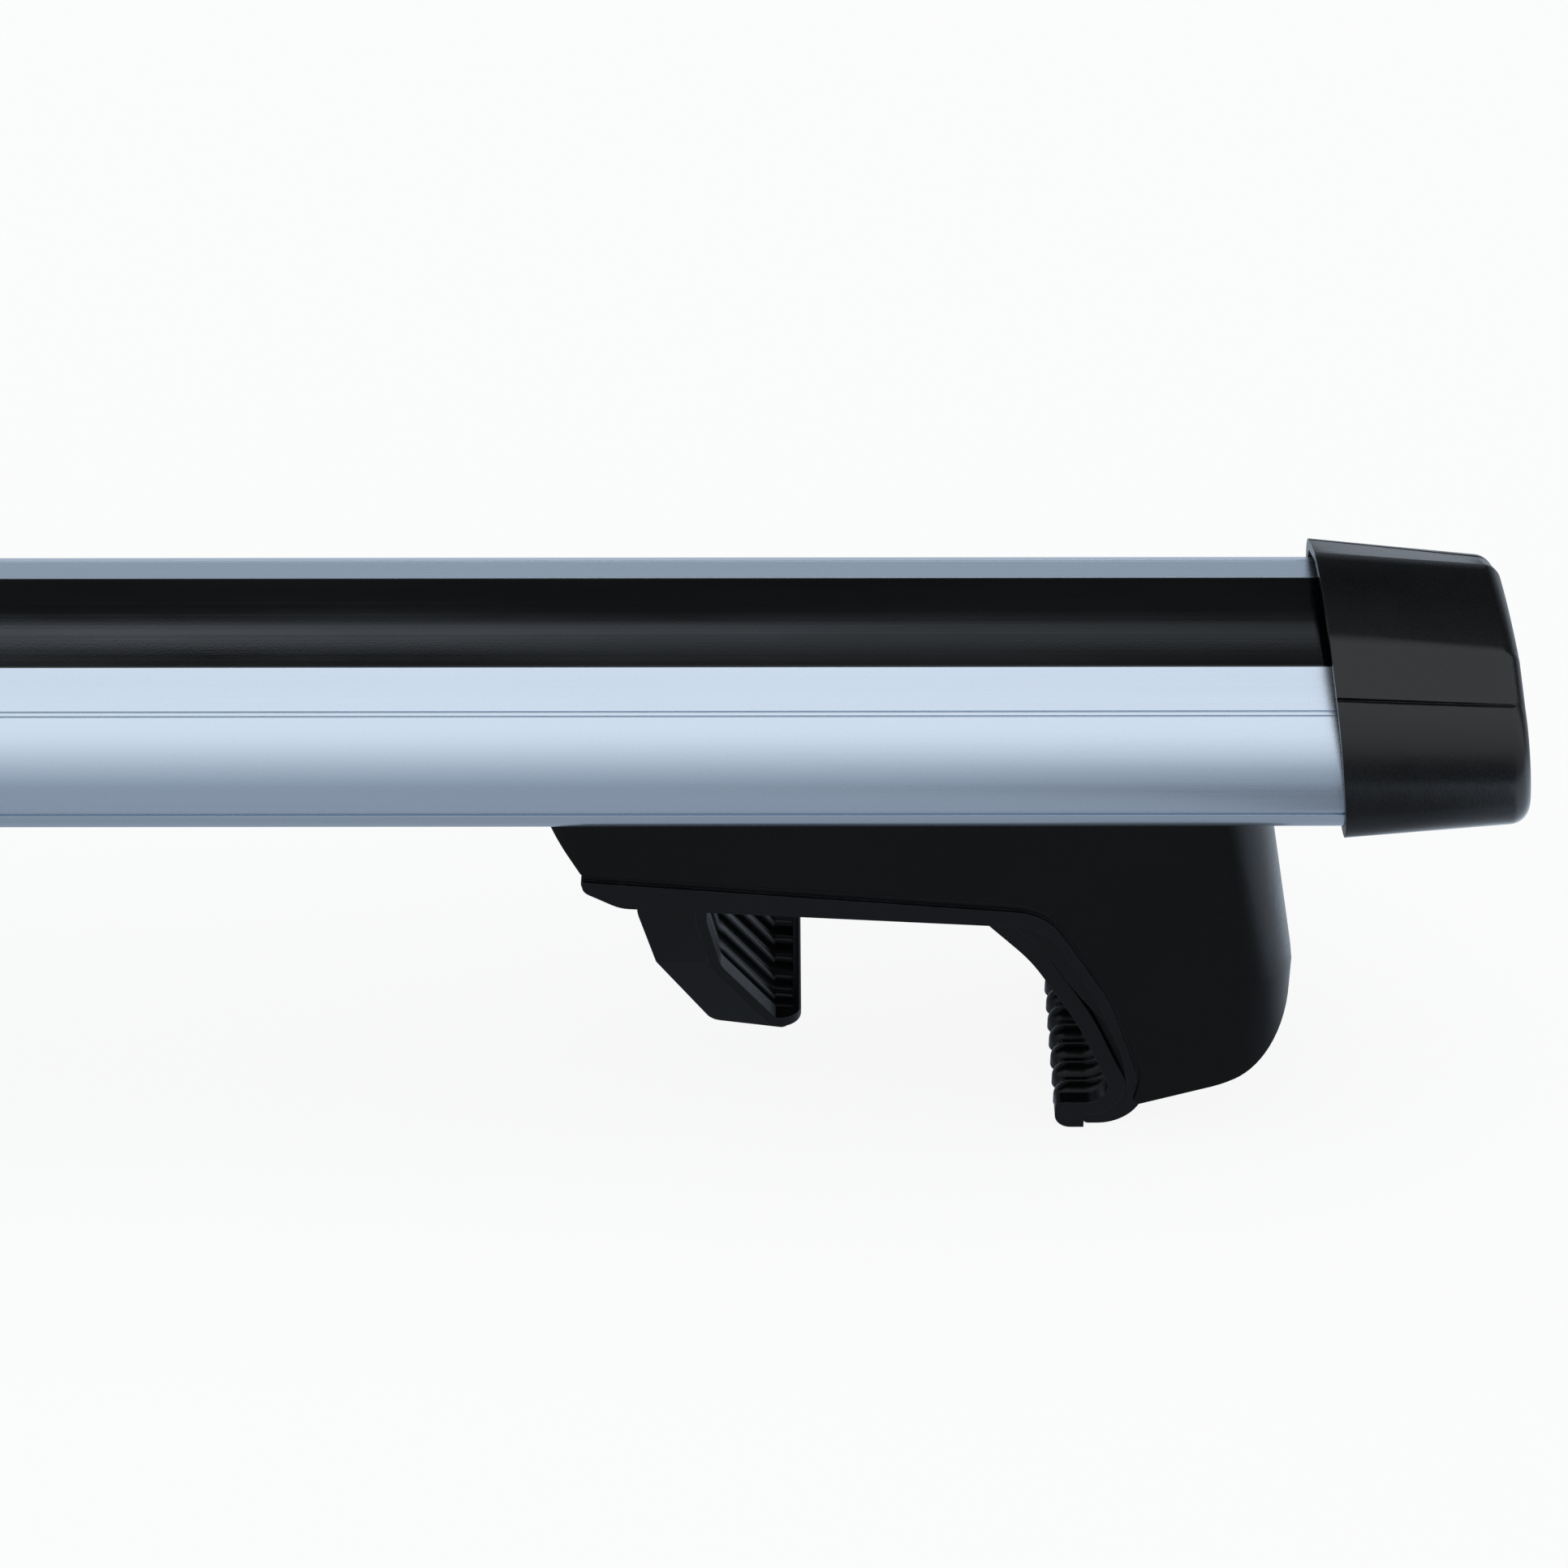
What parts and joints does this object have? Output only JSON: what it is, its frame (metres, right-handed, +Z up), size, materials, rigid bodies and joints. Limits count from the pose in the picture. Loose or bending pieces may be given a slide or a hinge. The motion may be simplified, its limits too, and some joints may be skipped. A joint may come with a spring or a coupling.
{
  "type": "roof rack crossbar",
  "caption": "Wing-section aluminium roof bar with a rubber top strip, end caps and feet whose screw-driven claws clamp raised roof rails.",
  "frame": {"origin": "centre of the bounding box at its bottom, level with the underside of the outer jaws' lips", "axes": "+X along the bar towards the end shown in the picture, +Y along the vehicle and away from the picture's camera, +Z up"},
  "size_m": [1.1992, 0.0788, 0.1213],
  "materials": {
    "bar_aluminium": "satin anodised",
    "strip_rubber": "satin",
    "cap_black": "fine grained satin",
    "shell_black": "fine grained satin",
    "trim_black": "matt",
    "frame_steel": "black satin coating",
    "claw_metal": "black satin coating",
    "pad_rubber": "satin",
    "bolt_steel": "zinc plated",
    "plate_aluminium": "plain extruded",
    "lock_metal": "nickel plated"
  },
  "bodies": {
    "rack": {"bar_profile": "bar_aluminium", "top_strip": "strip_rubber", "end_cap_right": "cap_black", "end_cap_left": "cap_black", "foot_shell_right": "shell_black", "edge_trim_right": "trim_black", "foot_frame_right": "frame_steel", "jaw_pad_right": "pad_rubber", "clamp_washer_right": "bolt_steel", "slide_plate_right": "plate_aluminium", "plate_screws_right": "bolt_steel", "shell_screws_right": "bolt_steel", "door_pin_right": "bolt_steel", "foot_shell_left": "shell_black", "edge_trim_left": "trim_black", "foot_frame_left": "frame_steel", "jaw_pad_left": "pad_rubber", "clamp_washer_left": "bolt_steel", "slide_plate_left": "plate_aluminium", "plate_screws_left": "bolt_steel", "shell_screws_left": "bolt_steel", "door_pin_left": "bolt_steel"},
    "claw_right": {"claw_right": "claw_metal", "claw_pad_right": "pad_rubber", "clamp_nut_right": "bolt_steel"},
    "bolt_right": {"clamp_bolt_right": "bolt_steel"},
    "door_right": {"lock_door_right": "shell_black"},
    "lock_right": {"lock_barrel_right": "lock_metal", "lock_cam_right": "bolt_steel"},
    "claw_left": {"claw_left": "claw_metal", "claw_pad_left": "pad_rubber", "clamp_nut_left": "bolt_steel"},
    "bolt_left": {"clamp_bolt_left": "bolt_steel"},
    "door_left": {"lock_door_left": "shell_black"},
    "lock_left": {"lock_barrel_left": "lock_metal", "lock_cam_left": "bolt_steel"}
  },
  "joints": [
    {"name": "bolt_turn_right", "type": "hinge", "parent": "rack", "child": "bolt_right", "pos_m": [0.476, 0, 0.075], "axis": [1, 0, 0], "range_deg": [0, 6480]},
    {"name": "claw_slide_right", "type": "slide", "parent": "rack", "child": "claw_right", "axis": [1, 0, 0], "range_m": [0, 0.018]},
    {"name": "door_hinge_right", "type": "hinge", "parent": "rack", "child": "door_right", "pos_m": [0.55252, 0, 0.06], "axis": [0, 1, 0], "range_deg": [0, 90]},
    {"name": "lock_turn_right", "type": "hinge", "parent": "door_right", "child": "lock_right", "pos_m": [0.54885, 0, 0.0755], "axis": [1, 0, 0], "range_deg": [0, 90]},
    {"name": "bolt_turn_left", "type": "hinge", "parent": "rack", "child": "bolt_left", "pos_m": [-0.476, 0, 0.075], "axis": [-1, 0, 0], "range_deg": [0, 6480]},
    {"name": "claw_slide_left", "type": "slide", "parent": "rack", "child": "claw_left", "axis": [-1, 0, 0], "range_m": [0, 0.018]},
    {"name": "door_hinge_left", "type": "hinge", "parent": "rack", "child": "door_left", "pos_m": [-0.55252, 0, 0.06], "axis": [0, -1, 0], "range_deg": [0, 90]},
    {"name": "lock_turn_left", "type": "hinge", "parent": "door_left", "child": "lock_left", "pos_m": [-0.54885, 0, 0.0755], "axis": [1, 0, 0], "range_deg": [0, 90]}
  ],
  "couplings": [
    {"joint": "bolt_turn_right", "follows": "claw_slide_right", "rad_per_m": 6283.2},
    {"joint": "bolt_turn_left", "follows": "claw_slide_left", "rad_per_m": 6283.2}
  ]
}
